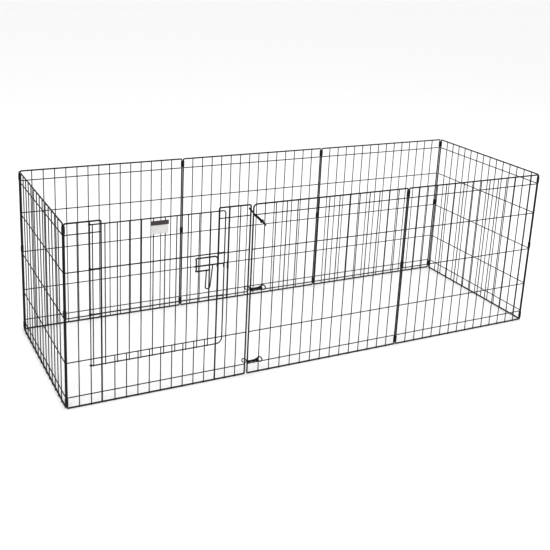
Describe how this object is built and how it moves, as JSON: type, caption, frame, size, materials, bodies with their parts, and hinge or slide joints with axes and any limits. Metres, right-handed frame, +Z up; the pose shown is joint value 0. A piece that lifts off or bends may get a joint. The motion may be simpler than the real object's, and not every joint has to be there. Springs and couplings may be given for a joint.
{
  "type": "pet playpen",
  "caption": "Folding wire exercise pen set up as an open-topped rectangle, with a hinged latching door and bolt snaps closing the last gap.",
  "frame": {"origin": "on the floor, under the centre of the overall box", "axes": "+X along the long side towards the right end, -Y the front with the door, +Z up"},
  "size_m": [1.857, 0.6444, 0.61],
  "materials": {
    "wire": "satin black coating",
    "hinge_clip": "satin black coating",
    "latch_wire": "satin black coating",
    "snap_casting": "semi-gloss black",
    "snap_bolt": "semi-gloss black",
    "label_strip": "matt, very dark brown",
    "label_card": "matt, pale grey"
  },
  "bodies": {
    "door_panel": {"door_panel_frame": "wire", "door_panel_bars": "wire", "door_panel_uprights": "wire", "latch_keeper": "latch_wire"},
    "left_end": {"left_end_frame": "wire", "left_end_bars": "wire", "left_end_uprights": "wire", "clips_left_end_door_panel": "hinge_clip"},
    "back_left": {"back_left_frame": "wire", "back_left_bars": "wire", "back_left_uprights": "wire", "clips_back_left_left_end": "hinge_clip"},
    "back_middle": {"back_middle_frame": "wire", "back_middle_bars": "wire", "back_middle_uprights": "wire", "clips_back_middle_back_left": "hinge_clip", "clips_back_right_back_middle": "hinge_clip"},
    "back_right": {"back_right_frame": "wire", "back_right_bars": "wire", "back_right_uprights": "wire", "clips_right_end_back_right": "hinge_clip"},
    "right_end": {"right_end_frame": "wire", "right_end_bars": "wire", "right_end_uprights": "wire", "clips_front_right_right_end": "hinge_clip"},
    "front_right": {"front_right_frame": "wire", "front_right_bars": "wire", "front_right_uprights": "wire", "clips_closing_panel_front_right": "hinge_clip"},
    "closing_panel": {"closing_panel_frame": "wire", "closing_panel_bars": "wire", "closing_panel_uprights": "wire"},
    "door": {"door_frame": "wire", "door_bars": "wire", "door_uprights": "wire", "latch_bracket": "latch_wire", "label_card": "label_card", "label_strip": "label_strip"},
    "latch_bolt": {"latch_bolt": "latch_wire"},
    "snap_low_eye": {"snap_low_eye": "snap_casting"},
    "snap_low_body": {"snap_low_body": "snap_casting"},
    "snap_low_bolt": {"snap_low_bolt": "snap_bolt"},
    "snap_mid_eye": {"snap_mid_eye": "snap_casting"},
    "snap_mid_body": {"snap_mid_body": "snap_casting"},
    "snap_mid_bolt": {"snap_mid_bolt": "snap_bolt"},
    "snap_top_eye": {"snap_top_eye": "snap_casting"},
    "snap_top_body": {"snap_top_body": "snap_casting"},
    "snap_top_bolt": {"snap_top_bolt": "snap_bolt"}
  },
  "joints": [
    {"name": "back_right_turn", "type": "hinge", "parent": "back_middle", "child": "back_right", "pos_m": [0.3105, 0.31738, 0.3], "axis": [0, 0, 1], "range_deg": [0, 125]},
    {"name": "right_end_turn", "type": "hinge", "parent": "back_right", "child": "right_end", "pos_m": [0.92374, 0.31314, 0.3], "axis": [0, 0, 1], "range_deg": [-35, 0]},
    {"name": "front_right_turn", "type": "hinge", "parent": "right_end", "child": "front_right", "pos_m": [0.9215, -0.30143, 0.3], "axis": [0, 0, 1], "range_deg": [0, 170]},
    {"name": "closing_panel_turn", "type": "hinge", "parent": "front_right", "child": "closing_panel", "pos_m": [0.3065, -0.30143, 0.3], "axis": [0, 0, 1], "range_deg": [-125, 0]},
    {"name": "back_left_turn", "type": "hinge", "parent": "back_middle", "child": "back_left", "pos_m": [-0.3105, 0.31738, 0.3], "axis": [0, 0, 1], "range_deg": [0, 125]},
    {"name": "left_end_turn", "type": "hinge", "parent": "back_left", "child": "left_end", "pos_m": [-0.92374, 0.31314, 0.3], "axis": [0, 0, 1], "range_deg": [-170, 0]},
    {"name": "door_panel_turn", "type": "hinge", "parent": "left_end", "child": "door_panel", "pos_m": [-0.9215, -0.30143, 0.3], "axis": [0, 0, 1], "range_deg": [-165, 45]},
    {"name": "door_swing", "type": "hinge", "parent": "door_panel", "child": "door", "pos_m": [-0.84537, -0.30483, 0.368], "axis": [0, 0, -1], "range_deg": [0, 120]},
    {"name": "latch_slide", "type": "slide", "parent": "door", "child": "latch_bolt", "axis": [1, 0, 0], "range_m": [-0.008, 0.01]},
    {"name": "snap_low_swing", "type": "hinge", "parent": "closing_panel", "child": "snap_low_eye", "pos_m": [-0.2619, -0.30483, 0.048], "axis": [0, 0, 1], "range_deg": [0, 150]},
    {"name": "snap_low_swivel", "type": "hinge", "parent": "snap_low_eye", "child": "snap_low_body", "pos_m": [-0.2575, -0.30553, 0.048], "axis": [-0.9976, -0.0693, 0], "range_deg": [-10, 10]},
    {"name": "snap_low_slide", "type": "slide", "parent": "snap_low_body", "child": "snap_low_bolt", "axis": [-0.9976, -0.0693, 0], "range_m": [-0.009, 0], "stiffness_N_per_m": 200, "springref_m": 0.003},
    {"name": "snap_mid_swing", "type": "hinge", "parent": "closing_panel", "child": "snap_mid_eye", "pos_m": [-0.2619, -0.30483, 0.314], "axis": [0, 0, 1], "range_deg": [0, 150]},
    {"name": "snap_mid_swivel", "type": "hinge", "parent": "snap_mid_eye", "child": "snap_mid_body", "pos_m": [-0.2575, -0.30553, 0.314], "axis": [-0.9976, -0.0693, 0], "range_deg": [-10, 10]},
    {"name": "snap_mid_slide", "type": "slide", "parent": "snap_mid_body", "child": "snap_mid_bolt", "axis": [-0.9976, -0.0693, 0], "range_m": [-0.009, 0], "stiffness_N_per_m": 200, "springref_m": 0.003},
    {"name": "snap_top_swing", "type": "hinge", "parent": "closing_panel", "child": "snap_top_eye", "pos_m": [-0.2619, -0.30483, 0.54], "axis": [0, 0, 1], "range_deg": [0, 150]},
    {"name": "snap_top_swivel", "type": "hinge", "parent": "snap_top_eye", "child": "snap_top_body", "pos_m": [-0.2643, -0.30583, 0.54], "axis": [-0.725, -0.0572, 0.6864], "range_deg": [-3, 10]},
    {"name": "snap_top_slide", "type": "slide", "parent": "snap_top_body", "child": "snap_top_bolt", "axis": [-0.725, -0.0572, 0.6864], "range_m": [-0.009, 0], "stiffness_N_per_m": 200, "springref_m": 0.003}
  ],
  "couplings": [
    {"joint": "right_end_turn", "follows": "back_right_turn", "ratio": -0.28},
    {"joint": "front_right_turn", "follows": "back_right_turn", "ratio": 1.36},
    {"joint": "closing_panel_turn", "follows": "back_right_turn", "ratio": -1},
    {"joint": "back_left_turn", "follows": "back_right_turn", "ratio": 1},
    {"joint": "left_end_turn", "follows": "back_right_turn", "ratio": -1.36}
  ]
}
